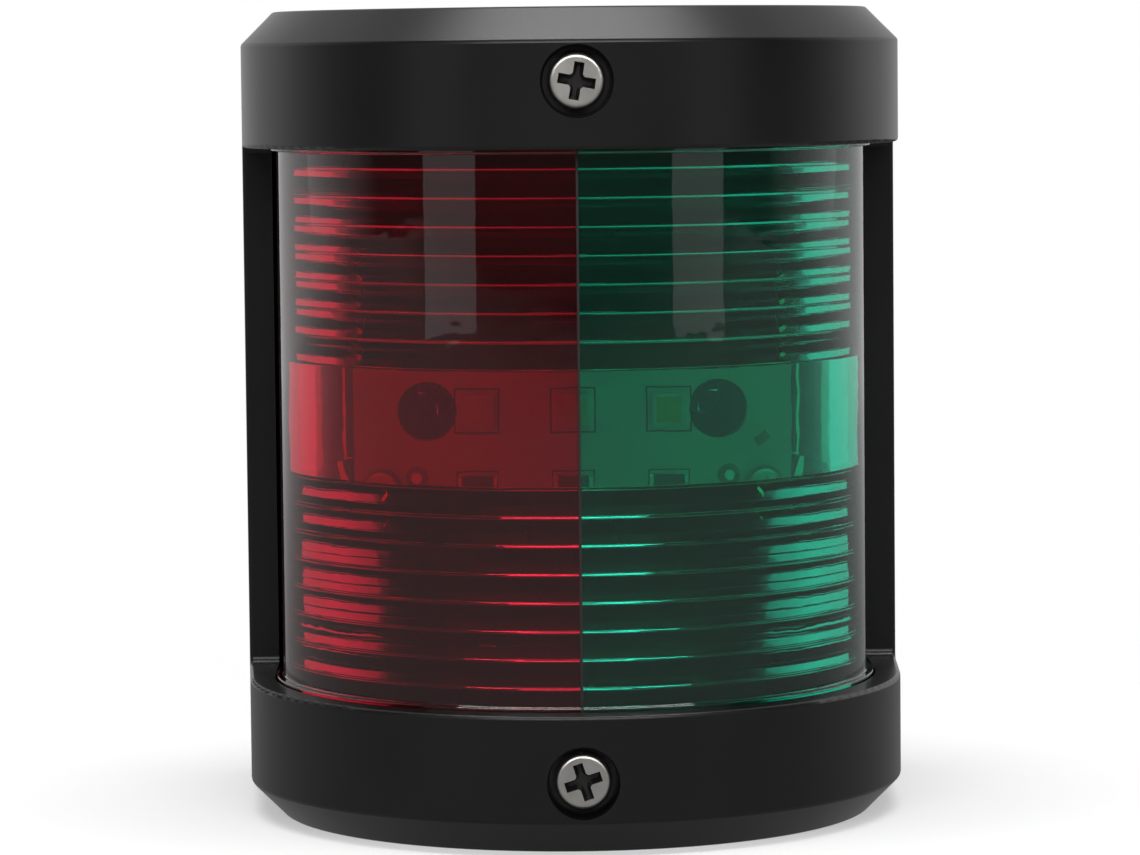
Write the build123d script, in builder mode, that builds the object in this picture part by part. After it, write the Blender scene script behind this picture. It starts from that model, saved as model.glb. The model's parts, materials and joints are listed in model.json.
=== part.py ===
from build123d import *
import os
from math import cos, pi, radians, sin, tan

# Two-colour navigation light for the bow of a small boat.
#
# Frame: +X to the right of someone facing the lamp, +Y back into the wall, +Z up.
# The origin is the middle of the back of the mounting gasket, so the wall is the plane Y = 0.
# Every "depth" below is a distance forwards from that wall, towards -Y.
# Plane.XZ.offset(depth) is a plane at that depth, and an extrusion on it goes forwards.

os.makedirs("parts", exist_ok=True)

# ---- Overall shape ----
body_height = 83.0
axis_depth = 28.0            # wall to the upright axis that the lens is round
cap_radius = 34.0            # round nose of the two hoods
side_draft = 2.8             # degrees that each side spreads towards the wall
edge_chamfer = 3.35          # sloping edge round the top and the bottom
edge_round = 0.5             # softened corners of that chamfer
hood_height = 13.9           # each hood, from the end of the body to the window
lip_round = 0.4              # softened edges of the window
pillar_setback = 10.0        # front faces of the side pillars, behind the lens axis
pillar_root_round = 0.8      # hollow corner between a pillar and a hood
overrun = 8.0                # of the envelope, beyond the wall, before it is cut into pieces

# ---- Shells ----
hood_wall = 2.6
roof_wall = 2.4
socket_floor_wall = 1.7      # between a lens socket and the hollow of its hood
fit_gap = 0.4                # between the cover and what it slides over
base_plate = 2.5
base_front_depth = 8.6       # front rim of the rear base
tongue_setback = 1.18        # wall that plugs into the cover, behind the lens stops
tongue_wall = 2.4
stop_lip_width = 5.6         # turned-in front of the tongue, behind each end of the lens
stop_lip_thickness = 1.8
arm_corner = 1.0
mount_gasket_thickness = 1.5
mount_gasket_inset = 2.0
mount_gasket_corner = 3.0
rim_gasket_thickness = 0.8
rim_gasket_inset = 0.5

# ---- Lens ----
lens_setback = 3.5           # of the lens, inside the nose of the hoods
lens_end_angle = 113.0       # each side, from dead ahead
lens_stop_gap = 0.3          # between each end of the lens and the tongue behind it
flange_reach = 0.7
flange_height = 1.6
flange_show = 0.35           # part of the flange that stands clear of the hood
flange_root_round = 0.6
socket_gap = 0.2
seal_thickness = 0.8
seal_width = 2.6
belt_half_height = 5.8       # plain clear band in front of the lamps
belt_wall = 3.65
prism_pitch = 2.83
prism_count = 8              # above the belt, and the same below
prism_root_wall = 2.1
prism_depth = 1.3
end_band_wall = 2.6          # plain wall beyond the last prism
joint_width = 0.24           # dark strip between the two colours

# ---- Cover screws, M3 x 12 pan head ----
screw_rise = 6.65            # of each cover screw, from the window into its hood
screw_radius = 1.5
screw_length = 12.0
screw_play = 0.2
screw_point = 0.4
thread_fit = 0.05            # round the screw in its insert
head_radius = 2.8
head_height = 2.1
head_edge = 1.6              # straight rim under the dome of the head
head_recess = 1.1            # top of the head below the face of the hood
head_bore_radius = 3.6
recess_length = 3.7          # of the cross in the head
recess_slot = 1.0
recess_round = 0.35          # in the four inner corners of the cross
recess_depth = 1.5
recess_taper = 12.0
top_cross_turn = -10.0
bottom_cross_turn = 18.0
washer_thickness = 0.6
washer_radius = 3.3
nose_boss_radius = 5.2
nose_boss_floor = 4.0        # under the washer
insert_radius = 2.2
insert_length = 6.0
insert_run_out = 3.0         # clear hole behind the insert, for the point of the screw
arm_width = 12.0
arm_gap = 0.25               # between an arm and the floor of its hood

# ---- Lamp board ----
board_width = 46.0
board_height = 22.0
board_thickness = 1.6
board_corner = 1.5
board_front_depth = 28.4
post_radius = 2.6
post_x = 20.0
post_z = 8.0
board_screw_radius = 1.25
board_screw_length = 7.0
board_head_radius = 2.1
board_head_height = 1.3
access_radius = 3.1          # holes that let a screwdriver reach the wall screws
led_spacing = 10.0
led_size = 3.5
led_height = 0.9
led_window = 2.7             # square of yellow phosphor
led_window_height = 0.12
chip_length = 3.2
chip_width = 1.6
chip_height = 0.6
chip_z = -7.6
capacitor_x = 19.8
capacitor_z = -3.1
capacitor_turn = 35.0
capacitor_length = 1.6
capacitor_width = 0.8
diode_length = 4.3
diode_width = 2.6
diode_height = 2.1
diode_z = 7.8
board_slot = 0.5

# ---- Fixing to the boat ----
wall_screw_spacing = 30.4
wall_screw_hole = 2.25
wall_pad_radius = 5.4
wall_pad_height = 2.0
cable_z = -25.0
cable_radius = 3.0
grommet_neck = 4.6
grommet_flange = 6.4
grommet_flange_thickness = 1.5
grommet_back_flange = 1.2

# ---- Terminal block and leads ----
block_width = 16.0
block_height = 10.5
block_depth = 11.0
block_z = -11.5
block_edge = 0.5
block_rail = 1.2             # low wall on the base round the block
block_rail_height = 2.5
pole_spacing = 8.0
cage_depth = 9.2             # wall to the middle of the wire ways
cage_width = 5.0
cage_height = 5.6
cage_length = 8.0
wire_way_radius = 1.5
clamp_screw_radius = 1.4
clamp_screw_length = 3.2
clamp_slot = 0.6
lead_radius = 0.7
lead_hole_play = 0.05
lead_tail = 2.0              # end of a lead, past its clamp screw
lead_rise = 8.5              # first bend, above the middle of the block
lead_bow_x = 10.0
lead_bow_z = -3.6
lead_bow_depth = 14.2
lead_pad_x = 16.3
lead_pad_z = -6.9
lead_turn_depth = 20.0
solder_radius = 1.2
solder_height = 0.9
solder_taper = 35.0

# ---- Worked out from the values above ----
half_height = body_height / 2
window_half = half_height - hood_height
screw_height = window_half + screw_rise
lens_radius = cap_radius - lens_setback
pillar_depth = axis_depth - pillar_setback
rim_depth = base_front_depth + rim_gasket_thickness
base_back_depth = mount_gasket_thickness
plate_depth = base_back_depth + base_plate
flange_radius = lens_radius + flange_reach
socket_radius = flange_radius + socket_gap
flange_top = window_half - flange_show + flange_height
socket_top = flange_top + seal_thickness
hood_floor = socket_top + socket_floor_wall
roof_inside = half_height - roof_wall
tongue_half_width = socket_radius - fit_gap
tongue_half_height = roof_inside - fit_gap
nose_depth = axis_depth + cap_radius
head_seat_depth = nose_depth - head_recess - head_height
bore_floor_depth = head_seat_depth - washer_thickness
arm_front_depth = bore_floor_depth - nose_boss_floor
arm_low = hood_floor + arm_gap
arm_high = 2 * screw_height - arm_low
board_back_depth = board_front_depth - board_thickness
lens_stop_depth = axis_depth + lens_radius * cos(radians(lens_end_angle)) - lens_stop_gap
tongue_depth = lens_stop_depth - tongue_setback
plug_depth = tongue_depth + fit_gap
lens_axis = Axis((0, -axis_depth, 0), (0, 0, 1))
across_lens = Plane(origin=(0, -axis_depth, 0), x_dir=(0, -1, 0), z_dir=(-1, 0, 0))


def side_at(depth):
    """Half width of the body at a depth behind the nose."""
    tangent_depth = axis_depth + cap_radius * sin(radians(side_draft))
    tangent_x = cap_radius * cos(radians(side_draft))
    return tangent_x + (tangent_depth - depth) * tan(radians(side_draft))


def outline(radius, back_depth):
    """Plan of the body: a round nose whose sides run on, spreading, to a straight back."""
    tangent_x = radius * cos(radians(side_draft))
    tangent_depth = axis_depth + radius * sin(radians(side_draft))
    back_x = tangent_x + (tangent_depth - back_depth) * tan(radians(side_draft))
    with BuildLine() as plan:
        nose = ThreePointArc(
            (-tangent_x, -tangent_depth), (0, -axis_depth - radius), (tangent_x, -tangent_depth)
        )
        right_side = Line(nose @ 1, (back_x, -back_depth))
        back = Line(right_side @ 1, (-back_x, -back_depth))
        Line(back @ 1, nose @ 0)
    return plan.line


def write(part, name):
    """Label a finished piece and write its STEP file."""
    part.label = name
    export_step(part, f"parts/{name}.step")
    print(f"{name:20s} solids {len(part.solids())}  volume {part.volume:10.2f} mm3")


# ---- Envelope: the outside of cover and base together, round nose and spreading sides ----
# It runs on past the wall, and each piece takes its own slice of it.
with BuildPart() as envelope:
    with BuildSketch(Plane.XY.offset(-half_height)):
        add(outline(cap_radius, -overrun))
        make_face()
    extrude(amount=body_height)
    ends = envelope.faces().filter_by(Axis.Z).edges()
    chamfer(ends.filter_by(lambda edge: edge.center().Y < 0), edge_chamfer)
    corners = envelope.edges().filter_by(lambda edge: edge.center().Y < 0)
    fillet(corners.filter_by(lambda edge: abs(edge.tangent_at(0.5).Z) < 0.01), edge_round)

# ---- Front housing: two hollow hoods joined by a pillar on each side ----
with BuildPart() as front_housing:
    add(envelope.part)
    split(bisect_by=Plane.XZ.offset(rim_depth), keep=Keep.TOP)
    # The window, open at the front and the sides as far back as the pillars.
    with BuildSketch(Plane.XZ.offset(pillar_depth)):
        Rectangle(4 * cap_radius, 2 * window_half)
    extrude(amount=2 * nose_depth, mode=Mode.SUBTRACT)
    window_edges = front_housing.edges().filter_by(
        lambda edge: abs(abs(edge.center().Z) - window_half) < 0.01
    )
    fillet(window_edges.filter_by(Axis.X), pillar_root_round)
    lips = front_housing.edges().filter_by(
        lambda edge: abs(abs(edge.center().Z) - window_half) < 0.01
    )
    fillet(lips.filter_by(Axis.X, reverse=True), lip_round)
    # Hollow of each hood, open at the rear.
    for level in (hood_floor, -roof_inside):
        with BuildSketch(Plane.XY.offset(level)):
            add(outline(cap_radius - hood_wall, 0))
            make_face()
        extrude(amount=roof_inside - hood_floor, mode=Mode.SUBTRACT)
    # Full-height opening at the rear, for the tongue of the base.
    with BuildSketch(Plane.XZ.offset(rim_depth)):
        Rectangle(2 * socket_radius, 2 * roof_inside)
    extrude(amount=plug_depth - rim_depth, mode=Mode.SUBTRACT)
    # A boss behind the nose of each hood, for the cover screw.
    with BuildSketch(Plane.XZ.offset(arm_front_depth + arm_gap)):
        with GridLocations(0, 2 * screw_height, 1, 2):
            Circle(nose_boss_radius)
    extrude(amount=nose_boss_floor + washer_thickness)
    # Round sockets that the lens stands in, with the way they are loaded from the rear.
    with BuildSketch(Plane.XY.offset(-socket_top)):
        with Locations((0, -axis_depth)):
            Circle(socket_radius)
            Rectangle(2 * socket_radius, 2 * axis_depth, align=(Align.CENTER, Align.MIN))
    extrude(amount=2 * socket_top, mode=Mode.SUBTRACT)
    # Bores for the cover screws, wide at the front for the sunk heads.
    with BuildSketch(Plane.XZ.offset(arm_front_depth)):
        with GridLocations(0, 2 * screw_height, 1, 2):
            Circle(screw_radius + screw_play)
    extrude(amount=2 * cap_radius, mode=Mode.SUBTRACT)
    with BuildSketch(Plane.XZ.offset(bore_floor_depth)):
        with GridLocations(0, 2 * screw_height, 1, 2):
            Circle(head_bore_radius)
    extrude(amount=2 * cap_radius, mode=Mode.SUBTRACT)
write(front_housing.part, "front_housing")

# ---- Rear base: back plate, rim, tongue, two arms for the cover screws and four board posts ----
with BuildPart() as rear_base:
    add(envelope.part)
    split(bisect_by=Plane.XZ.offset(base_back_depth), keep=Keep.TOP)
    split(bisect_by=Plane.XZ.offset(base_front_depth), keep=Keep.BOTTOM)
    # The tongue, a rectangular wall that plugs into the rear of the cover.
    with BuildSketch(Plane.XZ.offset(plate_depth)):
        Rectangle(2 * tongue_half_width, 2 * tongue_half_height)
    extrude(amount=tongue_depth - plate_depth)
    with BuildSketch(Plane.XZ.offset(plate_depth)):
        Rectangle(
            2 * (tongue_half_width - tongue_wall), 2 * (tongue_half_height - tongue_wall)
        )
    extrude(amount=tongue_depth, mode=Mode.SUBTRACT)
    # Side walls run on to just short of the lens, and turn in behind its two ends.
    for side in (-1, 1):
        with BuildSketch(Plane.XZ.offset(plate_depth)):
            with Locations((side * (tongue_half_width - tongue_wall / 2), 0)):
                Rectangle(tongue_wall, 2 * window_half - 2 * fit_gap)
        extrude(amount=lens_stop_depth - plate_depth)
        with BuildSketch(Plane.XZ.offset(lens_stop_depth)):
            with Locations((side * (tongue_half_width - stop_lip_width / 2), 0)):
                Rectangle(stop_lip_width, 2 * window_half - 2 * fit_gap)
        extrude(amount=-stop_lip_thickness)
    # Arms inside the hoods, each bored for the brass insert of its cover screw.
    for level in (screw_height, -screw_height):
        with BuildSketch(Plane.XZ.offset(plate_depth)):
            with Locations((0, level)):
                RectangleRounded(arm_width, arm_high - arm_low, arm_corner)
        extrude(amount=arm_front_depth - plate_depth)
        with BuildSketch(Plane.XZ.offset(arm_front_depth - insert_length - insert_run_out)):
            with Locations((0, level)):
                Circle(screw_radius + screw_play)
        extrude(amount=arm_front_depth, mode=Mode.SUBTRACT)
        with BuildSketch(Plane.XZ.offset(arm_front_depth - insert_length)):
            with Locations((0, level)):
                Circle(insert_radius)
        extrude(amount=insert_length, mode=Mode.SUBTRACT)
    # Posts for the lamp board, with pilot holes for its screws.
    with BuildSketch(Plane.XZ.offset(plate_depth)):
        with GridLocations(2 * post_x, 2 * post_z, 2, 2):
            Circle(post_radius)
    extrude(amount=board_back_depth - plate_depth)
    with BuildSketch(Plane.XZ.offset(board_back_depth - board_screw_length)):
        with GridLocations(2 * post_x, 2 * post_z, 2, 2):
            Circle(board_screw_radius)
    extrude(amount=board_screw_length, mode=Mode.SUBTRACT)
    # Pads round the two wall screws, and the way in for the cable.
    with BuildSketch(Plane.XZ.offset(plate_depth)):
        with GridLocations(wall_screw_spacing, 0, 2, 1):
            Circle(wall_pad_radius)
    extrude(amount=wall_pad_height)
    with BuildSketch(Plane.XZ):
        with GridLocations(wall_screw_spacing, 0, 2, 1):
            Circle(wall_screw_hole)
        with Locations((0, cable_z)):
            Circle(grommet_neck)
    extrude(amount=tongue_depth, mode=Mode.SUBTRACT)
    # Seat for the terminal block.
    with BuildSketch(Plane.XZ.offset(plate_depth)):
        with Locations((0, block_z)):
            Rectangle(block_width + 2 * block_rail, block_height + 2 * block_rail)
            Rectangle(block_width, block_height, mode=Mode.SUBTRACT)
    extrude(amount=block_rail_height)
write(rear_base.part, "rear_base")

# ---- Mounting gasket: soft pad between the base and the wall ----
with BuildPart() as mounting_gasket:
    with BuildSketch(Plane.XZ):
        RectangleRounded(
            2 * (cap_radius - mount_gasket_inset),
            body_height - 2 * (edge_chamfer + mount_gasket_inset),
            mount_gasket_corner,
        )
        with GridLocations(wall_screw_spacing, 0, 2, 1):
            Circle(wall_screw_hole + fit_gap, mode=Mode.SUBTRACT)
        with Locations((0, cable_z)):
            Circle(grommet_flange + fit_gap, mode=Mode.SUBTRACT)
    extrude(amount=mount_gasket_thickness)
write(mounting_gasket.part, "mounting_gasket")

# ---- Rim gasket: flat ring squeezed between the base and the cover ----
with BuildPart() as rim_gasket:
    with BuildSketch(Plane.XZ.offset(base_front_depth)) as ring:
        Rectangle(
            2 * (side_at(rim_depth) - rim_gasket_inset), 2 * (half_height - rim_gasket_inset)
        )
        chamfer(ring.vertices(), edge_chamfer)
        Rectangle(
            2 * tongue_half_width + fit_gap, 2 * tongue_half_height + fit_gap, mode=Mode.SUBTRACT
        )
    extrude(amount=rim_gasket_thickness)
write(rim_gasket.part, "rim_gasket")

# ---- Cable grommet: rubber bush that grips the plate between two flanges ----
with BuildPart() as cable_grommet:
    with BuildSketch(Plane.XZ.offset(base_back_depth - grommet_back_flange)):
        with Locations((0, cable_z)):
            Circle(grommet_flange)
    extrude(amount=grommet_back_flange)
    with BuildSketch(Plane.XZ.offset(base_back_depth)):
        with Locations((0, cable_z)):
            Circle(grommet_neck)
    extrude(amount=base_plate)
    with BuildSketch(Plane.XZ.offset(plate_depth)):
        with Locations((0, cable_z)):
            Circle(grommet_flange)
    extrude(amount=grommet_flange_thickness)
    with BuildSketch(Plane.XZ):
        with Locations((0, cable_z)):
            Circle(cable_radius)
    extrude(amount=tongue_depth, mode=Mode.SUBTRACT)
write(cable_grommet.part, "cable_grommet")

# ---- Lamp board: white board with screwdriver access holes and a pad hole for each lead ----
with BuildPart() as led_board:
    with BuildSketch(Plane.XZ.offset(board_back_depth)):
        RectangleRounded(board_width, board_height, board_corner)
        with GridLocations(wall_screw_spacing, 0, 2, 1):
            Circle(access_radius, mode=Mode.SUBTRACT)
        with GridLocations(2 * post_x, 2 * post_z, 2, 2):
            Circle(board_screw_radius + screw_play, mode=Mode.SUBTRACT)
        with Locations((0, lead_pad_z)):
            with GridLocations(2 * lead_pad_x, 0, 2, 1):
                Circle(lead_radius + lead_hole_play, mode=Mode.SUBTRACT)
    extrude(amount=board_thickness)
write(led_board.part, "led_board")

# ---- LEDs: three white packages in a row, each with a well that holds its phosphor ----
with BuildPart() as led_packages:
    with BuildSketch(Plane.XZ.offset(board_front_depth)):
        with GridLocations(led_spacing, 0, 3, 1):
            Rectangle(led_size, led_size)
    extrude(amount=led_height)
    with BuildSketch(Plane.XZ.offset(board_front_depth + led_height - led_window_height)):
        with GridLocations(led_spacing, 0, 3, 1):
            Rectangle(led_window, led_window)
    extrude(amount=led_window_height, mode=Mode.SUBTRACT)
write(led_packages.part, "led_packages")

with BuildPart() as led_phosphors:
    with BuildSketch(Plane.XZ.offset(board_front_depth + led_height - led_window_height)):
        with GridLocations(led_spacing, 0, 3, 1):
            Rectangle(led_window, led_window)
    extrude(amount=led_window_height)
write(led_phosphors.part, "led_phosphors")

# ---- Small parts on the board: a dropping resistor by each LED, and a polarity diode ----
with BuildPart() as resistors:
    with BuildSketch(Plane.XZ.offset(board_front_depth)):
        with Locations(*[(column * led_spacing, chip_z) for column in (-1, 0, 1)]):
            Rectangle(chip_length, chip_width)
    extrude(amount=chip_height)
write(resistors.part, "resistors")

with BuildPart() as capacitor:
    with BuildSketch(Plane.XZ.offset(board_front_depth)):
        with Locations(Location((capacitor_x, capacitor_z), capacitor_turn)):
            Rectangle(capacitor_length, capacitor_width)
    extrude(amount=chip_height)
write(capacitor.part, "capacitor")

with BuildPart() as diode:
    with BuildSketch(Plane.XZ.offset(board_front_depth)):
        with Locations((0, diode_z)):
            Rectangle(diode_length, diode_width)
    extrude(amount=diode_height)
write(diode.part, "diode")

# ---- Solder joints: a dome over the end of each lead ----
with BuildPart() as solder_joints:
    for side in (-1, 1):
        with BuildSketch(Plane.XZ.offset(board_front_depth)):
            with Locations((side * lead_pad_x, lead_pad_z)):
                Circle(solder_radius)
        extrude(amount=solder_height, taper=solder_taper)
write(solder_joints.part, "solder_joints")

# ---- Board screws: four pan heads into the posts ----
with BuildPart() as board_screws:
    with BuildSketch(Plane.XZ.offset(board_front_depth - board_screw_length)):
        with GridLocations(2 * post_x, 2 * post_z, 2, 2):
            Circle(board_screw_radius - thread_fit)
    extrude(amount=board_screw_length)
    with BuildSketch(Plane.XZ.offset(board_front_depth)):
        with GridLocations(2 * post_x, 2 * post_z, 2, 2):
            Circle(board_head_radius)
    extrude(amount=board_head_height)
    heads = board_screws.faces().filter_by(Axis.Y).group_by(Axis.Y)[0]
    fillet(heads.edges(), board_head_height / 2)
    with BuildSketch(Plane.XZ.offset(board_front_depth + board_head_height)):
        with GridLocations(2 * post_x, 2 * post_z, 2, 2):
            Rectangle(2 * board_head_radius, board_slot)
            Rectangle(board_slot, board_head_radius)
    extrude(amount=-board_head_height / 2, mode=Mode.SUBTRACT)
write(board_screws.part, "board_screws")

# ---- Terminal block: two brass cages in a moulded body, each with a clamp screw ----
with BuildPart() as terminal_block:
    with BuildSketch(Plane.XZ.offset(plate_depth)):
        with Locations((0, block_z)):
            Rectangle(block_width, block_height)
    extrude(amount=block_depth)
    chamfer(terminal_block.edges().filter_by(Axis.Y), block_edge)
    for side in (-1, 1):
        pole_x = side * pole_spacing / 2
        # Square way for the cage, right through from the cable's side to the leads' side.
        with BuildSketch(Plane.XY.offset(block_z - block_height / 2)):
            with Locations((pole_x, -cage_depth)):
                Rectangle(cage_width, cage_height)
        extrude(amount=block_height, mode=Mode.SUBTRACT)
        with BuildSketch(Plane.XZ.offset(cage_depth)):
            with Locations((pole_x, block_z)):
                Circle(clamp_screw_radius + screw_play)
        extrude(amount=block_depth, mode=Mode.SUBTRACT)
write(terminal_block.part, "terminal_block")

with BuildPart() as terminal_cages:
    for side in (-1, 1):
        pole_x = side * pole_spacing / 2
        with BuildSketch(Plane.XY.offset(block_z - cage_length / 2)):
            with Locations((pole_x, -cage_depth)):
                Rectangle(cage_width, cage_height)
                Circle(wire_way_radius, mode=Mode.SUBTRACT)
        extrude(amount=cage_length)
        with BuildSketch(Plane.XZ.offset(cage_depth)):
            with Locations((pole_x, block_z)):
                Circle(clamp_screw_radius)
        extrude(amount=block_depth, mode=Mode.SUBTRACT)
write(terminal_cages.part, "terminal_cages")

with BuildPart() as terminal_screws:
    for side in (-1, 1):
        pole_x = side * pole_spacing / 2
        with BuildSketch(Plane.XZ.offset(cage_depth + lead_radius)):
            with Locations((pole_x, block_z)):
                Circle(clamp_screw_radius - thread_fit)
        extrude(amount=clamp_screw_length)
        with BuildSketch(Plane.XZ.offset(cage_depth + lead_radius + clamp_screw_length)):
            with Locations((pole_x, block_z)):
                Rectangle(2 * clamp_screw_radius, clamp_slot)
        extrude(amount=-clamp_slot, mode=Mode.SUBTRACT)
write(terminal_screws.part, "terminal_screws")

# ---- Leads: from the terminal cages up to the pads at the two ends of the board ----
def bend_radii(points):
    """Largest easy bend at each inner point: 0.45 of the shorter run over tan(half the turn)."""
    radii = []
    for before, corner, after in zip(points, points[1:], points[2:]):
        run_in = Vector(corner) - Vector(before)
        run_out = Vector(after) - Vector(corner)
        half_turn = radians(run_in.get_angle(run_out) / 2)
        radii.append(0.45 * min(run_in.length, run_out.length) / tan(half_turn))
    return radii


for side, name in ((-1, "lead_red"), (1, "lead_black")):
    pole_x = side * pole_spacing / 2
    route = [
        (pole_x, -cage_depth, block_z - lead_tail),
        (pole_x, -cage_depth, block_z + lead_rise),
        (side * lead_bow_x, -lead_bow_depth, lead_bow_z),
        (side * lead_pad_x, -lead_turn_depth, lead_pad_z),
        (side * lead_pad_x, -board_front_depth, lead_pad_z),
    ]
    with BuildPart() as lead:
        with BuildLine() as path:
            FilletPolyline(*route, radius=bend_radii(route))
        with BuildSketch(Plane(origin=route[0], z_dir=(0, 0, 1))):
            Circle(lead_radius)
        sweep()
    length = path.wire().length
    tube = pi * lead_radius**2 * length
    print(f"  {name}: length {length:.1f} mm, section times length {tube:.2f} mm3")
    write(lead.part, name)

# ---- Brass inserts: pressed into the ends of the arms ----
for level, name in ((screw_height, "top_insert"), (-screw_height, "bottom_insert")):
    with BuildPart() as insert:
        with BuildSketch(Plane.XZ.offset(arm_front_depth - insert_length)):
            with Locations((0, level)):
                Circle(insert_radius)
                Circle(screw_radius + thread_fit, mode=Mode.SUBTRACT)
        extrude(amount=insert_length)
    write(insert.part, name)

# ---- Lens: two halves with a plain belt, ring prisms inside and a flange at each end ----
belt_radius = lens_radius - belt_wall
prism_root = lens_radius - prism_root_wall
end_band_radius = lens_radius - end_band_wall
upper_inside = [(belt_radius, 0), (belt_radius, belt_half_height)]
for tooth in range(prism_count):
    foot = belt_half_height + tooth * prism_pitch
    upper_inside.append((prism_root, foot))
    upper_inside.append((prism_root - prism_depth, foot + prism_pitch))
upper_inside.append((end_band_radius, belt_half_height + prism_count * prism_pitch))
upper_inside.append((end_band_radius, flange_top))
upper_outside = [
    (flange_radius, flange_top),
    (flange_radius, flange_top - flange_height),
    (lens_radius, flange_top - flange_height),
]
upper_half = upper_inside + upper_outside
lower_half = [(radius, -level) for radius, level in reversed(upper_half)]

for side, name in ((1, "green_lens"), (-1, "red_lens")):
    with BuildPart() as lens:
        with BuildSketch(across_lens):
            with BuildLine():
                Polyline(*upper_half, *lower_half[:-1], close=True)
            make_face()
        revolve(axis=lens_axis, revolution_arc=side * lens_end_angle)
        roots = lens.edges().filter_by(GeomType.CIRCLE).filter_by(
            lambda edge: abs(edge.radius - lens_radius) < 0.001
        )
        fillet(roots, flange_root_round)
        with Locations((0, -nose_depth / 2, 0)):
            Box(joint_width, nose_depth, body_height, mode=Mode.SUBTRACT)
    write(lens.part, name)

# ---- Lens joint: dark strip between the two colours, as deep as the lens wall ----
with BuildPart() as lens_joint_strip:
    with BuildSketch(across_lens):
        with BuildLine():
            Polyline(*upper_half, *lower_half[:-1], close=True)
        make_face()
    extrude(amount=joint_width / 2, both=True)
write(lens_joint_strip.part, "lens_joint_strip")

# ---- Lens seals: rubber arcs between the flanges and the floors of the sockets ----
for level, name in ((flange_top, "lens_seal_top"), (-socket_top, "lens_seal_bottom")):
    with BuildPart() as seal:
        with BuildSketch(Plane.XY.offset(level)):
            with BuildLine():
                outer = CenterArc(
                    (0, -axis_depth), flange_radius, -90 - lens_end_angle, 2 * lens_end_angle
                )
                inner = CenterArc(
                    (0, -axis_depth), flange_radius - seal_width,
                    -90 - lens_end_angle, 2 * lens_end_angle,
                )
                Line(outer @ 0, inner @ 0)
                Line(outer @ 1, inner @ 1)
            make_face()
        extrude(amount=seal_thickness)
    write(seal.part, name)

# ---- Cover screws and their sealing washers ----
for level, turn, place in (
    (screw_height, top_cross_turn, "top"),
    (-screw_height, bottom_cross_turn, "bottom"),
):
    with BuildPart() as screw:
        with BuildSketch(Plane.XZ.offset(head_seat_depth - screw_length)):
            with Locations((0, level)):
                Circle(screw_radius)
        extrude(amount=screw_length)
        with BuildSketch(Plane.XZ.offset(head_seat_depth)):
            with Locations((0, level)):
                Circle(head_radius)
        extrude(amount=head_height)
        front_rim = screw.faces().sort_by(Axis.Y)[0].edges()
        fillet(front_rim, head_height - head_edge)
        tail_rim = screw.faces().sort_by(Axis.Y)[-1].edges()
        chamfer(tail_rim, screw_point)
        with BuildSketch(Plane.XZ.offset(head_seat_depth + head_height)) as cross:
            with Locations(Location((0, level), turn)):
                Rectangle(recess_length, recess_slot)
                Rectangle(recess_slot, recess_length)
            middle = Vector(0, level, 0)
            inner_corners = cross.vertices().sort_by_distance(middle)[:4]
            fillet(inner_corners, recess_round)
        extrude(amount=-recess_depth, taper=recess_taper, mode=Mode.SUBTRACT)
    write(screw.part, f"{place}_screw")
    with BuildPart() as washer:
        with BuildSketch(Plane.XZ.offset(bore_floor_depth)):
            with Locations((0, level)):
                Circle(washer_radius)
                Circle(screw_radius + thread_fit, mode=Mode.SUBTRACT)
        extrude(amount=washer_thickness)
    write(washer.part, f"{place}_screw_washer")
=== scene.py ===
# %% [markdown]
# # A two-colour navigation light
#
# The real object is a small lamp for the bow of a boat: a black moulded housing with a hood above
# and a hood below, a half-round lens in red and green, and a row of LEDs on a white board inside.
# The CAD model already holds every piece in its true size, so this scene keeps those meshes and
# gives them finishes. It remakes only the two lens halves, because their prisms bend light and
# need rounded tips and smooth curves, and it adds five soft pieces that are too thin for the CAD
# model.

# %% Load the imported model
import json
from math import cos, pi, radians, sin

import bpy
from mathutils import Matrix, Vector


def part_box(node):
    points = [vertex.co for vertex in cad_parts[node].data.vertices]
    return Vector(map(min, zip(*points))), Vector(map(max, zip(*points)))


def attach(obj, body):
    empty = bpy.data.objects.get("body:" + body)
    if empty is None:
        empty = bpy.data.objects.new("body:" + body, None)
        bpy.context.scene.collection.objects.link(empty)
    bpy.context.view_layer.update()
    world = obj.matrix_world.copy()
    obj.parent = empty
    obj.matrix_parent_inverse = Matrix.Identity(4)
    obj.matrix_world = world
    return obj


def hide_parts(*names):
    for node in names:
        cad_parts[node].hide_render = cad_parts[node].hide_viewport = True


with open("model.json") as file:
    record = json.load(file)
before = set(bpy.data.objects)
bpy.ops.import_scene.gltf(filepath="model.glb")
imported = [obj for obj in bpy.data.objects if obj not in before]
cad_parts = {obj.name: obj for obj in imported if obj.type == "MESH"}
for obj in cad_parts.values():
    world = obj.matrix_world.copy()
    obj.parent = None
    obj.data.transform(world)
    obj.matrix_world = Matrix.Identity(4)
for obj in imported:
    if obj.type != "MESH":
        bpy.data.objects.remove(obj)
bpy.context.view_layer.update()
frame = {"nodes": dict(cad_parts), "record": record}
mm = 0.001

# %% [markdown]
# ## Where things are
#
# The lens is round an upright axis. Its flanges are its widest part, so the box of one half gives
# the axis, the radius and the height of the whole lens. Everything else is placed from the boxes
# of the CAD nodes, and no position is typed in twice.

# %% Measure the lens from its CAD node
lens_low, lens_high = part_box("green_lens")
flange_radius = lens_high.x
flange_top = lens_high.z
axis_y = lens_low.y + flange_radius
floor_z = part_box("front_housing")[0].z
print(f"lens axis {-axis_y / mm:.2f} mm from the wall, flange radius {flange_radius / mm:.2f} mm")

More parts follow.
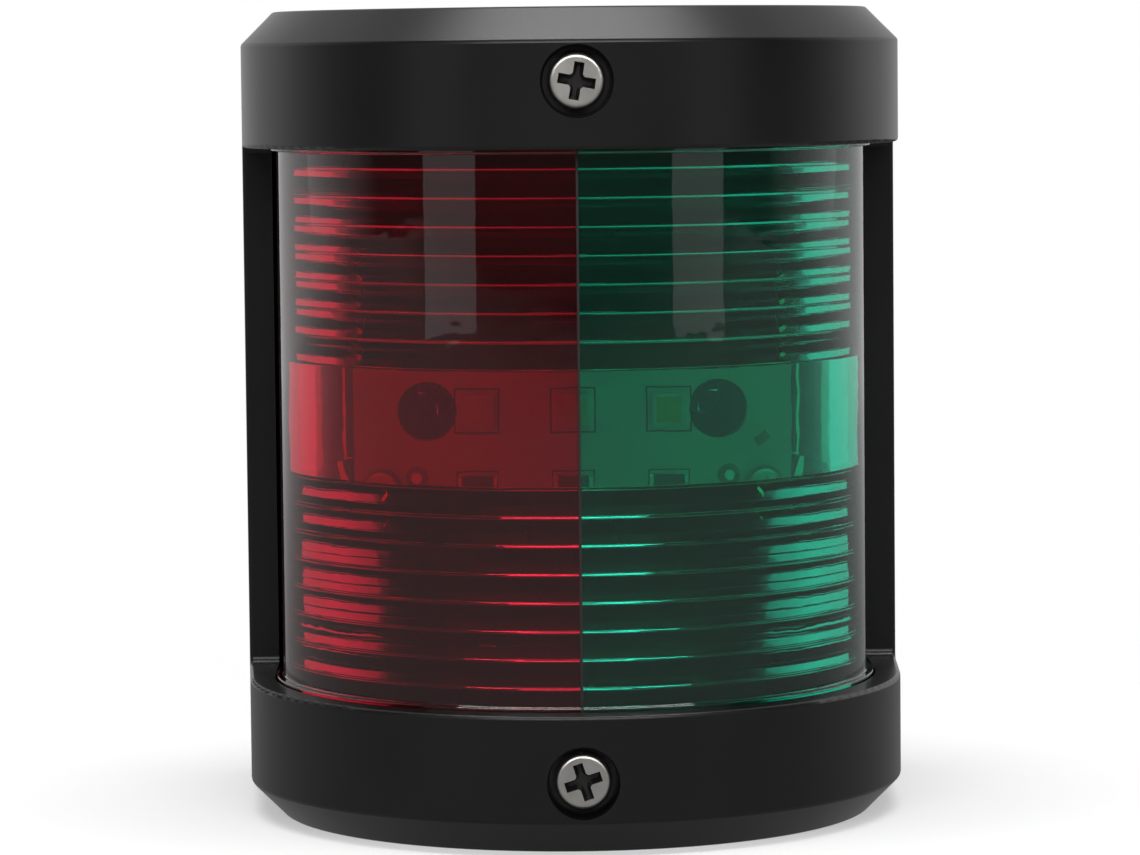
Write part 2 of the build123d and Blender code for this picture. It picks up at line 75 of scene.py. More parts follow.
# %% [markdown]
# ## Maths on shader sockets
#
# A pattern is easier to read as an expression than as a web of nodes. `Value` wraps one socket,
# and each Python operator on it adds one Math node, also when the number stands on the left.
# `Finish` is one material: a single method adds any node, and the shorter ones after it name what
# this lamp's finishes have in common, such as soft noise, a mix of two colours and a bump.

# %% A socket that takes part in expressions
class Value:
    def __init__(self, finish, socket):
        self.finish = finish
        self.socket = socket

    def maths(self, operation, *others):
        node = self.finish.node("ShaderNodeMath", {"operation": operation}, self, *others)
        return Value(self.finish, node.outputs[0])

    def __add__(self, other):
        return self.maths("ADD", other)

    def __sub__(self, other):
        return self.maths("SUBTRACT", other)

    def __rsub__(self, other):
        return (self * -1) + other

    def __mul__(self, other):
        return self.maths("MULTIPLY", other)

    def __truediv__(self, other):
        return self.maths("DIVIDE", other)

    def __gt__(self, other):
        return self.maths("GREATER_THAN", other)

    def __lt__(self, other):
        return self.maths("LESS_THAN", other)

    def __abs__(self):
        return self.maths("ABSOLUTE")

    __radd__ = __add__
    __rmul__ = __mul__

    def most(self, other):
        return self.maths("MAXIMUM", other)

    def least(self, other):
        return self.maths("MINIMUM", other)


# %% A finish: one material and one method that adds any node
class Finish:
    def __init__(self, name, **constants):
        self.material = bpy.data.materials.new(name)
        self.material.use_nodes = True
        self.tree = self.material.node_tree
        self.shader = self.tree.nodes["Principled BSDF"]
        for socket, number in constants.items():
            self.shader.inputs[socket.replace("_", " ")].default_value = number
        self.place = self.node("ShaderNodeTexCoord").outputs["Object"]

    def node(self, kind, settings=None, *values, **named):
        node = self.tree.nodes.new(kind)
        for setting, choice in (settings or {}).items():
            setattr(node, setting, choice)
        for socket, value in [*zip(node.inputs, values), *((node.inputs[n.replace("_", " ")], v)
                                                           for n, v in named.items())]:
            self.feed(socket, value)
        return node

    def feed(self, socket, value):
        if isinstance(value, Value):
            value = value.socket
        if isinstance(value, bpy.types.NodeSocket):
            self.tree.links.new(value, socket)
        else:
            socket.default_value = value

    def set(self, **values):
        for socket, value in values.items():
            self.feed(self.shader.inputs[socket.replace("_", " ")], value)
        return self.material

    def axes(self):
        parts = self.node("ShaderNodeSeparateXYZ", None, self.place)
        return [Value(self, parts.outputs[axis]) for axis in "XYZ"]

    def noise(self, size, detail=2.0, roughness=0.5):
        """Soft random values from 0 to 1, in patches of the given size in metres."""
        node = self.node("ShaderNodeTexNoise", None, Vector=self.place, Scale=1 / size,
                         Detail=detail, Roughness=roughness)
        return Value(self, node.outputs["Fac"])

    def between(self, value, low, high):
        """Stretch a value so that 0 becomes low and 1 becomes high."""
        return value * (high - low) + low

    def blend(self, share, first, second):
        """Mix two colours: share 0 is all first, and 1 is all second."""
        node = self.node("ShaderNodeMix", {"data_type": "RGBA"})
        for socket, value in zip([node.inputs[0], node.inputs[6], node.inputs[7]],
                                 [share, first, second]):
            self.feed(socket, value)
        return node.outputs[2]

    def bump(self, height, depth, strength):
        """Raise the surface by up to depth metres where height is 1."""
        node = self.node("ShaderNodeBump", None, Strength=strength, Distance=depth, Height=height)
        return node.outputs["Normal"]


def grey(level):
    return (level, level, level, 1.0)


# %% [markdown]
# ## Black moulded plastic
#
# The housing and the base are ABS from a tool with a fine spark-eroded grain. The grain is far
# smaller than any edge, so it is a bump and a change of gloss, not geometry. Two sizes of noise
# keep it from looking like a repeated print.

# %% Black moulded plastic
housing_black = Finish("housing_black", IOR=1.5, Specular_IOR_Level=0.35)
grain_size = 0.22 * mm
grain_depth = 0.012 * mm
grain = housing_black.noise(grain_size, 3.0, 0.6)
drift = housing_black.noise(14 * mm, 2.0)
black_plastic = housing_black.set(
    Base_Color=housing_black.blend(drift, grey(0.003), grey(0.006)),
    Roughness=housing_black.between(grain * 0.6 + drift * 0.4, 0.24, 0.36),
    Normal=housing_black.bump(grain, grain_depth, 0.5),
)
print(f"the housing's grain is {grain_size / mm} mm wide and {grain_depth / mm} mm deep")

# %% [markdown]
# ## Clear coloured plastic
#
# The lens is one clear moulding in two colours. A dielectric shader bends the view through every
# prism, which is where the pattern of dark bands and bright lines comes from. Transparency alone
# would show the inside unbent. A faint waviness stands for the flow of the plastic in the mould,
# and a small share of haze tints the dark bands.

# %% Red and green lens plastic
clear_share = 0.98


def clear_plastic(name, colour):
    clear = Finish(name, IOR=1.57, Transmission_Weight=clear_share, Base_Color=colour)
    flow = clear.noise(5 * mm, 2.0)
    haze = clear.noise(1.5 * mm, 3.0)
    return clear.set(
        Roughness=clear.between(haze, 0.0, 0.03),
        Normal=clear.bump(flow, 0.05 * mm, 0.35),
    )


lens_finishes = {
    "red": clear_plastic("lens_red", (0.56, 0.010, 0.032, 1.0)),
    "green": clear_plastic("lens_green", (0.012, 0.50, 0.31, 1.0)),
}
print(f"the lens lets {clear_share:.0%} of the light through clearly")


# %% [markdown]
# ## The lens
#
# Each half is one section turned about the upright axis: a thick plain belt in front of the LEDs,
# rings of prisms above and below it, and a flange at each end. It could be modelled by hand with
# Spin, but a node tree keeps the sizes as inputs. First comes the section, a loop of corners.

# %% The section of the lens
lens_radius = flange_radius - 0.7 * mm
belt_wall = 3.65 * mm
belt_half_height = 5.8 * mm
prism_pitch = 2.83 * mm
prism_count = 8
prism_root_wall = 2.1 * mm
prism_depth = 1.3 * mm
end_band_wall = 2.6 * mm
flange_height = 1.6 * mm
lens_end_angle = radians(113)
seam_half_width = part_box("lens_joint_strip")[1].x


def lens_section():
    """Corners of the section as (radius, height), from the middle of the belt up and round."""
    inside = [(lens_radius - belt_wall, belt_half_height)]
    for tooth in range(prism_count):
        foot = belt_half_height + tooth * prism_pitch
        inside.append((lens_radius - prism_root_wall, foot))
        inside.append((lens_radius - prism_root_wall - prism_depth, foot + prism_pitch))
    inside.append((lens_radius - end_band_wall, belt_half_height + prism_count * prism_pitch))
    inside.append((lens_radius - end_band_wall, flange_top))
    outside = [
        (flange_radius, flange_top),
        (flange_radius, flange_top - flange_height),
        (lens_radius, flange_top - flange_height),
    ]
    upper = inside + outside
    lower = [(radius, -height) for radius, height in reversed(upper)]
    return upper + lower


section = lens_section()
print("the lens section has", len(section), "corners")


# %% [markdown]
# ## Node trees as Python
#
# A Geometry Nodes tree is built like a finish: one method adds any node and feeds its sockets.
# Each size is a named input of the tree, so the same tree can be tried with other sizes in the
# modifier's panel. `make` runs the tree on a mesh and keeps the result as a plain object.

# %% Named inputs of a tree
def add_inputs(tree, sizes):
    """Give a node tree its geometry sockets and one named input for each size."""
    tree.interface.new_socket("Geometry", in_out="INPUT", socket_type="NodeSocketGeometry")
    found = {}
    for name, (kind, value) in sizes.items():
        socket = tree.interface.new_socket(name, in_out="INPUT", socket_type=f"NodeSocket{kind}")
        if kind != "Material":
            socket.default_value = value
        found[name] = socket.identifier
    tree.interface.new_socket("Geometry", in_out="OUTPUT", socket_type="NodeSocketGeometry")
    return found


# %% A Geometry Nodes tree under construction
class Tree:
    def __init__(self, name, sizes):
        self.group = bpy.data.node_groups.new(name, "GeometryNodeTree")
        self.identifiers = add_inputs(self.group, sizes)
        self.given = self.group.nodes.new("NodeGroupInput").outputs

    def node(self, kind, settings=None, *values, **named):
        node = self.group.nodes.new(kind)
        for setting, choice in (settings or {}).items():
            setattr(node, setting, choice)
        for socket, value in [*zip(node.inputs, values), *((node.inputs[n.replace("_", " ")], v)
                                                           for n, v in named.items())]:
            if isinstance(value, bpy.types.Node):
                value = value.outputs[0]
            if isinstance(value, bpy.types.NodeSocket):
                self.group.links.new(value, socket)
            elif value is not None:
                socket.default_value = value
        return node

    def finish(self, geometry):
        realized = self.node("GeometryNodeRealizeInstances", None, geometry)
        painted = self.node("GeometryNodeSetMaterial", None, realized,
                            Material=self.given["Material"])
        self.group.links.new(painted.outputs[0], self.group.nodes.new("NodeGroupOutput").inputs[0])

    def make(self, name, host_mesh, **inputs):
        """Run the tree on a mesh and return the result as a plain object."""
        host = bpy.data.objects.new(f"{name}_host", host_mesh)
        bpy.context.scene.collection.objects.link(host)
        modifier = host.modifiers.new("tree", "NODES")
        modifier.node_group = self.group
        for size, value in inputs.items():
            modifier[self.identifiers[size.replace("_", " ")]] = value
        graph = bpy.context.evaluated_depsgraph_get()
        mesh = bpy.data.meshes.new_from_object(host.evaluated_get(graph), depsgraph=graph)
        bpy.data.objects.remove(host)
        piece = bpy.data.objects.new(name, mesh)
        mesh.name = name
        bpy.context.scene.collection.objects.link(piece)
        return piece


# %% A closed loop of edges through flat corners
def loop_mesh(name, corners):
    mesh = bpy.data.meshes.new(name)
    count = len(corners)
    edges = [(corner, (corner + 1) % count) for corner in range(count)]
    mesh.from_pydata([(x, y, 0) for x, y in corners], edges, [])
    return mesh


# %% [markdown]
# ## Sweeping a section round an axis
#
# The tree rounds the corners of a loop, sweeps it along an arc, and lets only edges sharper than
# `Crisp Angle` break the smooth shading. The copies are turned evenly round the axis: one for the
# lens, and one for each flap of a membrane further down.

# %% Inputs of the sweep
sweep = Tree("sweep_round_axis", {
    "Rail Radius": ("Float", 1.0),
    "Start Angle": ("Float", 0.0),
    "Sweep Angle": ("Float", 1.0),
    "Steps": ("Int", 160),
    "Corner Radius": ("Float", 0.0001),
    "Crisp Angle": ("Float", 0.5),
    "Copies": ("Int", 1),
    "Material": ("Material", None),
})

# %% Rail, rounded section and swept solid
rail = sweep.node("GeometryNodeCurveArc", {"mode": "RADIUS"}, Resolution=sweep.given["Steps"],
                  Radius=sweep.given["Rail Radius"], Start_Angle=sweep.given["Start Angle"],
                  Sweep_Angle=sweep.given["Sweep Angle"])
loop = sweep.node("GeometryNodeMeshToCurve", None, sweep.given["Geometry"])
rounded = sweep.node("GeometryNodeFilletCurve", {"mode": "POLY"}, loop, Count=5,
                     Radius=sweep.given["Corner Radius"], Limit_Radius=True)
swept = sweep.node("GeometryNodeCurveToMesh", None, rail, rounded, Fill_Caps=True)

# %% Smooth faces, crisp edges
bend = sweep.node("GeometryNodeInputMeshEdgeAngle")
crisp = sweep.node("FunctionNodeCompare", {"data_type": "FLOAT", "operation": "GREATER_THAN"},
                   bend, sweep.given["Crisp Angle"])
smooth = sweep.node("GeometryNodeSetShadeSmooth", {"domain": "FACE"}, swept, None, True)
edged = sweep.node("GeometryNodeSetShadeSmooth", {"domain": "EDGE"}, smooth, crisp, False)

# %% Copies round the axis
share = sweep.node("ShaderNodeMath", {"operation": "DIVIDE"}, sweep.node("GeometryNodeInputIndex"),
                   sweep.given["Copies"])
turn = sweep.node("ShaderNodeMath", {"operation": "MULTIPLY"}, share, 2 * pi)
points = sweep.node("GeometryNodePoints", None, sweep.given["Copies"])
copies = sweep.node("GeometryNodeInstanceOnPoints", None, points, Instance=edged,
                    Rotation=sweep.node("ShaderNodeCombineXYZ", None, Z=turn))
sweep.finish(copies)
print("the sweep has", len(sweep.group.nodes), "nodes and", len(sweep.identifiers), "inputs")

# %% [markdown]
# ## The two halves
#
# The halves meet at the dark strip in the middle and reach just past the end of the light's
# sector on each side. The tips of the prisms are rounded by a seventh of a millimetre, as a
# mould leaves them. The shading breaks at a very small angle, because a normal that is smoothed
# across a rounded corner tilts the whole wall beside it, and clear plastic shows that at once.

# %% Make the two halves
on_axis = Matrix.Translation((0, axis_y, 0))
seam_angle = seam_half_width / lens_radius
halves = {
    "green": ("green_lens", -pi / 2 + seam_angle),
    "red": ("red_lens", -pi / 2 - lens_end_angle),
}
lens_loop = loop_mesh("lens_loop", [(radius - lens_radius, -height) for radius, height in section])
for colour, (node, start) in halves.items():
    half = sweep.make(
        f"{colour}_lens_half", lens_loop,
        Rail_Radius=lens_radius, Start_Angle=start, Sweep_Angle=lens_end_angle - seam_angle,
        Steps=140, Corner_Radius=0.14 * mm, Crisp_Angle=radians(3),
        Material=lens_finishes[colour],
    )
    half.data.transform(on_axis)
    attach(half, "cover")
    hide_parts(node)
    print(node, "has", sum(len(face.vertices) - 2 for face in half.data.polygons), "triangles")

# %% [markdown]
# ## Rubber and foam
#
# The seals are moulded rubber with a dusty skin, and the two gaskets are cut from closed-cell
# foam. Both are near black and differ in their surface: fine noise for rubber, and the cells of a
# Voronoi pattern for foam. Modelling the cells would cost thousands of faces for little gain.

# %% Rubber and foam
def rubber(name, level, cell=None):
    soft = Finish(name, IOR=1.5)
    skin = soft.noise(0.5 * mm, 3.0)
    dust = soft.noise(6 * mm, 3.0)
    height = skin
    depth = 0.02 * mm
    if cell:
        bubbles = soft.node("ShaderNodeTexVoronoi", None, Vector=soft.place, Scale=1 / cell)
        height = Value(soft, bubbles.outputs["Distance"])
        depth = 0.15 * mm
    return soft.set(
        Base_Color=soft.blend(dust, grey(level), grey(level * 1.7)),
        Roughness=soft.between(dust, 0.55, 0.8),
        Normal=soft.bump(height, depth, 0.6),
    )


# %% [markdown]
# ## Metals
#
# Screws, inserts, cages and solder share one recipe: full metal whose tone and gloss wander, and
# a very shallow bump from tumbling or turning. Only colour, gloss and grain differ. Painted shade
# can lie over a part of the metal, and there the shader turns from metal to dark and dull.

# %% Metals
def metal(name, colour, dull, bright, grain_size, painted_shade=None):
    """Metal that wanders in tone and gloss. The last argument works out where shade is painted on
    it, dark and dull.
    """
    turned = Finish(name)
    tumble = turned.noise(grain_size, 4.0, 0.6)
    stain = turned.noise(2.2 * mm, 3.0)
    darker = tuple(channel * 0.72 for channel in colour[:3]) + (1.0,)
    tone = turned.blend(stain, darker, colour)
    turned.set(
        Base_Color=tone,
        Metallic=1.0,
        Roughness=turned.between(tumble * 0.5 + stain * 0.5, bright, dull),
        Normal=turned.bump(tumble, 0.006 * mm, 0.5),
    )
    # painted shade: the cross of each cover screw turns dark and dull
    if painted_shade:
        shaded_share = painted_shade(turned)
        turned.set(
            Base_Color=turned.blend(shaded_share, tone, grey(0.012)),
            Metallic=turned.between(shaded_share, 1.0, 0.0),
        )
    return turned.material


# %% [markdown]
# ## Painted shade in the cross of a screw
#
# The cross of each cover screw is painted dark, as shade in its recess. The cross is already cut
# in the CAD mesh, so the material only has to know where it is: a little behind the face of the
# head and near the axis of the screw. One mask serves both screws, as they sit at equal heights
# above and below the middle.

# %% Where the shade is painted
screw_low, screw_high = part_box("top_screw")
screw_z = (screw_low.z + screw_high.z) / 2
painted_shade_start = 0.1 * mm
painted_shade_end = 1.7 * mm
painted_shade_radius = 2 * mm


def painted_shade_in_cross(turned):
    """1 in the cross of a cover screw, where shade is painted, and 0 on its face, rim and shank.
    """
    x, y, z = turned.axes()
    above = abs(z) - screw_z
    depth = y - screw_low.y
    near_axis = x * x + above * above < painted_shade_radius ** 2
    return (depth > painted_shade_start) * (depth < painted_shade_end) * near_axis


print(f"cover screws {screw_z / mm:.1f} mm above and below the middle")

# %% [markdown]
# ## Plain plastics, chips and insulation
#
# The parts on the board, the terminal block, the leads and the dark strip are plain mouldings.
# Each has a mottled tone and fine pores, so that none looks like flat paint in a close view.

# %% Plain plastics, chips and insulation
def moulded(name, colour, gloss, matt, shade=0.82):
    plain = Finish(name, IOR=1.5)
    mottle = plain.noise(1.1 * mm, 3.0)
    pores = plain.noise(0.15 * mm, 2.0)
    darker = tuple(channel * shade for channel in colour[:3]) + (1.0,)
    return plain.set(
        Base_Color=plain.blend(mottle, darker, colour),
        Roughness=plain.between(mottle * 0.5 + pores * 0.5, gloss, matt),
        Normal=plain.bump(pores, 0.008 * mm, 0.4),
    )


# %% [markdown]
# ## The lamp board
#
# A board is white solder mask with thin printed outlines round the parts and bare pads beside
# them. Both could be thin extra pieces, but those could lift off or flicker against the board, so
# the material works them out from the distances to each part's middle.

# %% Measure the parts on the board
led_low, led_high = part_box("led_packages")
led_half = (led_high.z - led_low.z) / 2
led_spacing = (led_high.x - led_low.x - 2 * led_half) / 2
led_z = (led_high.z + led_low.z) / 2
chip_low, chip_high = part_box("resistors")
chip_z = (chip_low.z + chip_high.z) / 2
chip_half_width = (chip_high.x - chip_low.x) / 2 - led_spacing
chip_half_height = (chip_high.z - chip_low.z) / 2
columns = [-led_spacing, 0.0, led_spacing]
print(f"LEDs {2 * led_half / mm:.1f} mm wide, {led_spacing / mm:.1f} mm apart")

# %% Masks on the board
board_finish = Finish("lamp_board_white", IOR=1.5)
x, y, z = board_finish.axes()


def box_distance(middle_x, middle_z, half_width, half_height):
    """Distance outwards from a rectangle on the board, with square corners."""
    return (abs(x - middle_x) - half_width).most(abs(z - middle_z) - half_height)


def outline_mask(distance, offset, width):
    return abs(distance - offset) < width / 2


def any_of(masks):
    """1 where at least one of the masks is 1."""
    total = masks[0]
    for mask in masks[1:]:
        total = total.most(mask)
    return total


# %% Printed outlines and bare pads
pad_half_width = 0.45 * mm
led_outline = {"offset": 0.55 * mm, "width": 0.18 * mm}
chip_outline = {"offset": 0.5 * mm, "width": 0.15 * mm}
printed = any_of(
    [outline_mask(box_distance(column, led_z, led_half, led_half), **led_outline)
     for column in columns]
    + [outline_mask(box_distance(column, chip_z, chip_half_width, chip_half_height),
                    **chip_outline) for column in columns]
)
pads = any_of(
    [box_distance(column + side * chip_half_width, chip_z, pad_half_width, chip_half_height) < 0
     for column in columns for side in (-1, 1)]
)

# %% White board
speckle = board_finish.noise(0.4 * mm, 3.0)
cloud = board_finish.noise(7 * mm, 2.0)
mask_white = board_finish.blend(cloud, (0.74, 0.75, 0.72, 1), (0.82, 0.83, 0.80, 1))
with_print = board_finish.blend(printed, mask_white, grey(0.03))
white_board = board_finish.set(
    Base_Color=board_finish.blend(pads, with_print, (0.62, 0.6, 0.55, 1)),
    Metallic=pads * 0.9,
    Roughness=board_finish.between(speckle, 0.3, 0.42) - pads * 0.08,
    Normal=board_finish.bump(pads + printed * 0.4 + speckle * 0.1, 0.03 * mm, 0.6),
)
print("the board's finish has", len(board_finish.tree.nodes), "nodes")

# %% [markdown]
# ## One finish for each slot
#
# The model names a slot for every node, such as brass or white board. Handing out finishes by
# slot, and not by piece, keeps two pieces of the same stuff alike.

# %% Finish for every material slot
finishes = {
    "black_plastic": black_plastic,
    "black_joint": moulded("joint_dark", (0.01, 0.006, 0.006, 1), 0.5, 0.7),
    "seal_rubber": rubber("seal_rubber_black", 0.02),
    "foam_rubber": rubber("foam_rubber_black", 0.035, 0.45 * mm),
    "white_board": white_board,
    "led_body": moulded("led_ceramic", (0.8, 0.8, 0.77, 1), 0.2, 0.35, 0.93),
    "led_phosphor": moulded("led_phosphor_yellow", (0.86, 0.66, 0.1, 1), 0.1, 0.25),
    "chip_black": moulded("chip_epoxy_black", (0.03, 0.03, 0.032, 1), 0.3, 0.5),
    "chip_tan": moulded("chip_ceramic_tan", (0.5, 0.36, 0.22, 1), 0.3, 0.5),
    "solder": metal("solder_bright", (0.75, 0.75, 0.73, 1), 0.35, 0.15, 0.3 * mm),
    "zinc_steel": metal("zinc_plated_steel", (0.62, 0.62, 0.58, 1), 0.45, 0.25, 0.2 * mm),
    "stainless_steel": metal("screw_stainless", (0.66, 0.64, 0.6, 1), 0.42, 0.24, 0.18 * mm,
                             painted_shade_in_cross),
    "brass": metal("turned_brass", (0.78, 0.58, 0.26, 1), 0.4, 0.22, 0.2 * mm),
    "block_plastic": moulded("block_green", (0.02, 0.14, 0.08, 1), 0.35, 0.5),
    "red_insulation": moulded("wire_red", (0.55, 0.02, 0.02, 1), 0.25, 0.4),
    "black_insulation": moulded("wire_black", (0.02, 0.02, 0.02, 1), 0.25, 0.4),
}
slot_of = {part["node"]: part["material_slot"] for part in frame["record"]["subparts"]}
for name, node in frame["nodes"].items():
    if slot_of[name] in finishes:
        node.data.materials.clear()
        node.data.materials.append(finishes[slot_of[name]])
print(len(finishes), "finishes for", len(frame["nodes"]) - len(halves), "nodes kept from the CAD")

# %% [markdown]
# ## Soft pieces that stop stray light and stand in for shade
#
# Three soft details are too thin for the CAD model. A black strip lines each end of the belt, so
# the light stops where the sector ends. Slit dark foam closes the two wall-screw holes and a slit
# dark membrane closes the cable grommet: dark sheets that stand in for the shade behind the
# holes, so that no daylight shines through them. All come from the same tree as the lens: a small
# rectangle swept round an axis, repeated for the flaps of a membrane.

# %% A rectangle swept round an axis
def rectangle(inner, outer, low, high):
    return [(inner, low), (outer, low), (outer, high), (inner, high)]


def soft_piece(name, corners, rail_radius, start, angle, copies, slot, body, placing):
    flat = [(radius - rail_radius, -height) for radius, height in corners]
    piece = sweep.make(
        name, loop_mesh(f"{name}_loop", flat), Rail_Radius=rail_radius, Start_Angle=start,
        Sweep_Angle=angle, Steps=24, Corner_Radius=0.04 * mm, Crisp_Angle=radians(40),
        Copies=copies, Material=finishes[slot],
    )
    piece.data.transform(placing)
    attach(piece, body)
    print(name, "has", len(piece.data.polygons), "faces")


# %% Strips at the ends of the belt
belt_radius = lens_radius - belt_wall
strip_half_height = 5.5 * mm
strip_thickness = 0.45 * mm
skin_gap = 0.02 * mm             # so that no face is shared with a neighbour
strip_angle = radians(2.4)
strip_end = radians(112.4)
strip = rectangle(belt_radius - strip_thickness, belt_radius - skin_gap,
                  -strip_half_height, strip_half_height)
for side, start in (("left", -pi / 2 - strip_end), ("right", -pi / 2 + strip_end - strip_angle)):
    soft_piece(f"belt_end_strip_{side}", strip, belt_radius, start, strip_angle, 1,
               "seal_rubber", "cover", on_axis)

# %% Slit foam across the two wall-screw holes: a dark sheet as painted shade
slit = radians(0.8)
flap_rail = 1 * mm
flap_tip = 0.05 * mm
foam_reach = 2.62 * mm
foam_thickness = 0.5 * mm
foam_depth = 0.4 * mm
mounts = {mount["name"]: mount for mount in frame["record"]["mounts"]}
wall_screw_spacing = mounts["wall_screws"]["dims"]["spacing_x_mm"] * mm
gasket_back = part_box("mounting_gasket")[1].y
across_wall = Matrix.Rotation(pi / 2, 4, "X")
shade_web_flap = rectangle(flap_tip, foam_reach, 0.0, foam_thickness)
# painted shade: dark foam flaps stand in for the shade behind the wall-screw holes
for side, across in (("left", -wall_screw_spacing / 2), ("right", wall_screw_spacing / 2)):
    place = Matrix.Translation((across, gasket_back - foam_depth, 0))
    soft_piece(f"wall_screw_web_{side}", shade_web_flap, flap_rail, slit / 2, pi / 2 - slit, 4,
               "foam_rubber", "base", place @ across_wall)

# %% Slit membrane in the cable grommet: a dark sheet as painted shade
membrane_thickness = 0.4 * mm
membrane_depth = 2.0 * mm
grommet_low, grommet_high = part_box("cable_grommet")
grommet_z = (grommet_low.z + grommet_high.z) / 2
grommet_bore = mounts["cable_entry"]["dims"]["r_mm"] * mm
place = Matrix.Translation((0, grommet_low.y + membrane_depth, grommet_z))
# painted shade: a dark membrane stands in for the shade behind the grommet's bore
soft_piece("grommet_shade_membrane",
           rectangle(flap_tip, grommet_bore - skin_gap, 0.0, membrane_thickness), flap_rail,
           slit / 2, pi / 3 - slit, 6, "seal_rubber", "base", place @ across_wall)

# %% [markdown]
# ## Floor and backdrop
#
# The lamp stands on a pale sheet of paper that curves up behind it, as in a small studio. Lit by
# soft boxes alone, the paper turns plain white only when the lamp gets far too much light as
# well. So the paper glows where the camera sees it, directly or through the lens. Close to the
# lamp more of the plain paper shows, which keeps the shadow on the floor. Glossy pieces mirror
# the paper too, with a brightness that falls off towards the front, as it does in a real room.

# %% The sheet of paper
def stage_sheet():
    """One sheet: flat under the lamp and curved up behind it."""
    half_width, front, back, bend_radius, height = 1.6, -1.2, 0.9, 0.5, 1.8
    line = [(front, 0.0), (back, 0.0)]
    for step in range(1, 13):
        turn = step / 12 * pi / 2
        line.append((back + bend_radius * sin(turn), bend_radius * (1 - cos(turn))))
    line.append((back + bend_radius, height))
    verts = [(side * half_width, y, floor_z + z) for y, z in line for side in (-1, 1)]
    faces = [(2 * i, 2 * i + 1, 2 * i + 3, 2 * i + 2) for i in range(len(line) - 1)]
    mesh = bpy.data.meshes.new("pale_sweep")
    mesh.from_pydata(verts, [], faces)
    mesh.polygons.foreach_set("use_smooth", [True] * len(mesh.polygons))
    return mesh


backdrop = bpy.data.objects.new("pale_sweep", stage_sheet())
bpy.context.scene.collection.objects.link(backdrop)

# %% Paper that glows for some rays
paper = Finish("pale_paper", Base_Color=grey(0.92), Roughness=0.9, Specular_IOR_Level=0.1)
rays = paper.node("ShaderNodeLightPath").outputs
camera_ray, mirror_ray, through_ray = (
    Value(paper, rays[f"Is {kind} Ray"]) for kind in ("Camera", "Glossy", "Transmission")
)
x, y, z = paper.axes()
shadow_radius = 0.03
clear_radius = 0.15
shadow_glow = 0.4                # share of glow right under the lamp
far_front_glow = 0.07            # mirrored brightness far in front of the lamp
near_rise, near_zone = 0.23, (-1.15, -0.55)
behind_rise, behind_zone = 0.4, (0.1, 0.6)


def climb(value, start, end):
    """0 below start, 1 above end, and a straight line between."""
    return ((value - start) / (end - start)).most(0).least(1)


from_axis = x * x + (y - axis_y) * (y - axis_y)
beside = paper.between(climb(from_axis, shadow_radius ** 2, clear_radius ** 2), shadow_glow, 1.0)
direct = camera_ray.most(through_ray)
mirrored = mirror_ray * (climb(y, *near_zone) * near_rise + climb(y, *behind_zone) * behind_rise
                         + far_front_glow)
glow = paper.node("ShaderNodeEmission", None, grey(1.0), direct.most(mirrored))
glow_share = (camera_ray * beside).most(mirror_ray).most(through_ray)
either = paper.node("ShaderNodeMixShader", None, glow_share, paper.shader.outputs[0],
                    glow.outputs[0])
paper.tree.links.new(either.outputs[0], paper.tree.nodes["Material Output"].inputs["Surface"])
backdrop.data.materials.append(paper.material)
print("the sheet of paper lies at z =", round(floor_z / mm, 2), "mm")

# %% [markdown]
# ## World
#
# The world is bright behind and at the sides and dim in front, as in a white booth with the
# camera at its mouth. The glossy black faces stay dark in the middle and lighten towards their
# edges, which an even world could not do.

# %% World: bright behind, dim in front
front_strength, back_strength = 0.07, 1.0
fade_start, fade_end = -0.15, 0.6
world = bpy.data.worlds.new("booth")
bpy.context.scene.world = world
world.use_nodes = True
nodes, links = world.node_tree.nodes, world.node_tree.links
direction = nodes.new("ShaderNodeTexCoord")
parts = nodes.new("ShaderNodeSeparateXYZ")
links.new(direction.outputs["Generated"], parts.inputs[0])
fade = nodes.new("ShaderNodeMapRange")
fade.inputs["From Min"].default_value = fade_start
fade.inputs["From Max"].default_value = fade_end
fade.inputs["To Min"].default_value = front_strength
fade.inputs["To Max"].default_value = back_strength
links.new(parts.outputs["Y"], fade.inputs["Value"])
background = nodes["Background"]
background.inputs["Color"].default_value = grey(1.0)
links.new(fade.outputs["Result"], background.inputs["Strength"])
print("the world goes from", front_strength, "in front to", back_strength, "behind")

# %% [markdown]
# ## Soft boxes
#
# Four rectangular lamps do the rest. Two tall ones at the sides in front give the faint upright
# bands on the lens. One above lights the hood's top and its sloping edge, and a wide one high in
# front lights the lamp's face and the screws. Each is set by how bright it looks, so a larger box
# gives more light without looking different in a reflection.

# %% Soft boxes
def soft_box(name, place, target, width, height, radiance):
    """A rectangular lamp that looks as bright as `radiance` from anywhere in front of it."""
    data = bpy.data.lights.new(name, "AREA")
    data.shape = "RECTANGLE"
    data.size, data.size_y = width, height
    data.energy = radiance * pi * width * height
    lamp = bpy.data.objects.new(name, data)
    bpy.context.scene.collection.objects.link(lamp)
    lamp.location = place
    lamp.rotation_euler = (Vector(target) - Vector(place)).to_track_quat("-Z", "Y").to_euler()
    print(f"{name}: {width} by {height} m, radiance {radiance}, {data.energy:.2f} W")


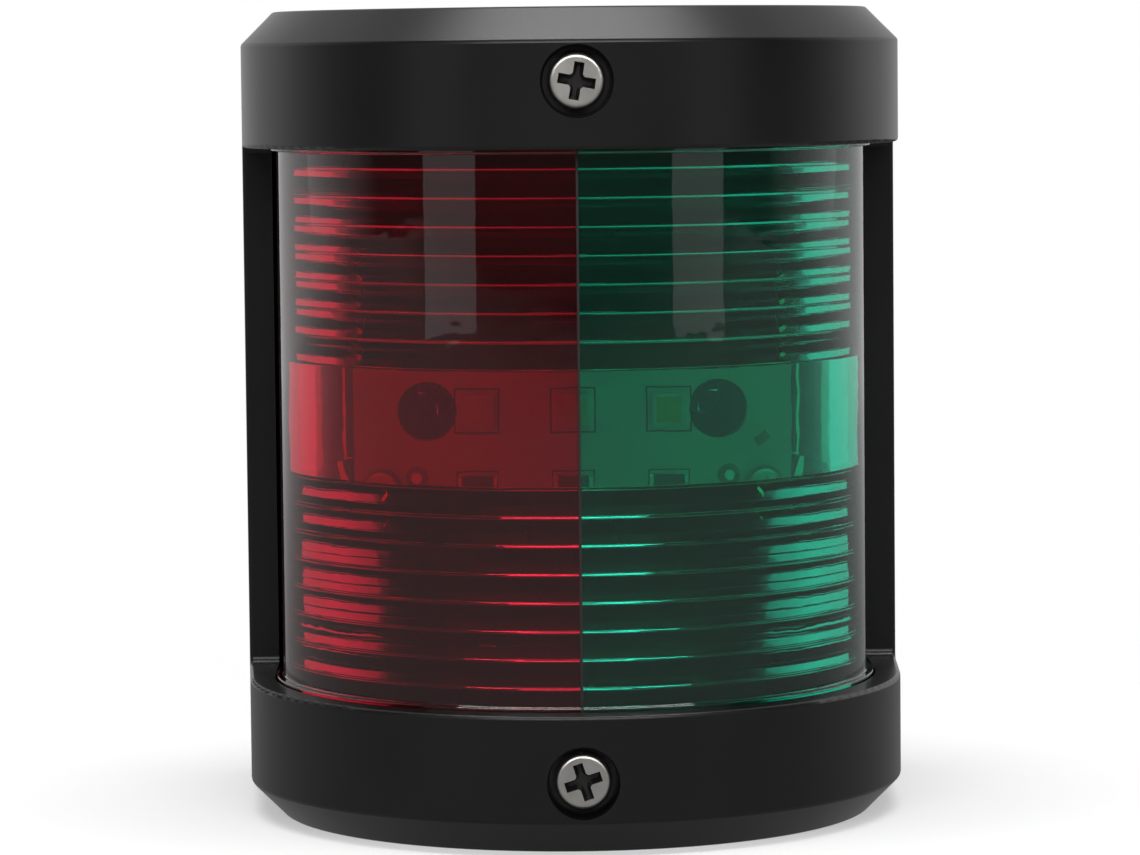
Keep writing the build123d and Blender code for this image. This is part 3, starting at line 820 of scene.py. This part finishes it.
lamp_middle = Vector((0, axis_y, 0))
side_box_turn = radians(48)
side_box_distance = 0.9
for side, name in ((-1, "side_box_left"), (1, "side_box_right")):
    turn = side_box_turn * side
    place = lamp_middle + Vector((sin(turn), -cos(turn), 0.1)) * side_box_distance
    soft_box(name, place, lamp_middle, 0.34, 0.8, 0.5)
soft_box("top_box", lamp_middle + Vector((0, -0.08, 0.8)), lamp_middle, 0.8, 0.25, 9.0)
soft_box("front_box", lamp_middle + Vector((0, -0.9, 0.5)), lamp_middle, 1.2, 0.45, 4.4)

# %% [markdown]
# ## Camera
#
# A long lens about half a metre away, a little above the lamp and looking slightly down. The lamp
# itself is turned and leant by about a degree, and the camera takes up both, because the CAD
# frame never moves.

# %% Camera
camera_distance = 486.3 * mm     # from the lens axis
camera_rise = 35.95 * mm
camera_shift = -0.28 * mm
camera_pitch = 0.0778            # radians, looking down
lamp_yaw = 0.0213
lamp_roll = -0.0100
focal_share = 4672 / 1140        # focal length over the width of the image

turned = Matrix.Rotation(lamp_roll, 3, "Y") @ Matrix.Rotation(lamp_yaw, 3, "Z")
nodded = Matrix.Rotation(camera_pitch, 3, "X")
to_camera = nodded @ turned
camera_data = bpy.data.cameras.new("camera")
camera_data.sensor_width = 36.0
camera_data.lens = focal_share * camera_data.sensor_width
camera_data.clip_start = 0.01
camera = bpy.data.objects.new("camera", camera_data)
bpy.context.scene.collection.objects.link(camera)
eye = turned.transposed() @ Vector((camera_shift, -camera_distance, camera_rise))
right, ahead, up = to_camera[0], to_camera[1], to_camera[2]
axes = Matrix((right, up, -ahead)).transposed()
camera.matrix_world = Matrix.Translation(eye + Vector((0, axis_y, 0))) @ axes.to_4x4()
bpy.context.scene.camera = camera
print("camera at", [round(value / mm, 1) for value in camera.matrix_world.translation], "mm")

# %% [markdown]
# ## Colour and the end
#
# Standard colour shows each finish about as it is written.

# %% Colour and the end
bpy.context.scene.view_settings.view_transform = "Standard"
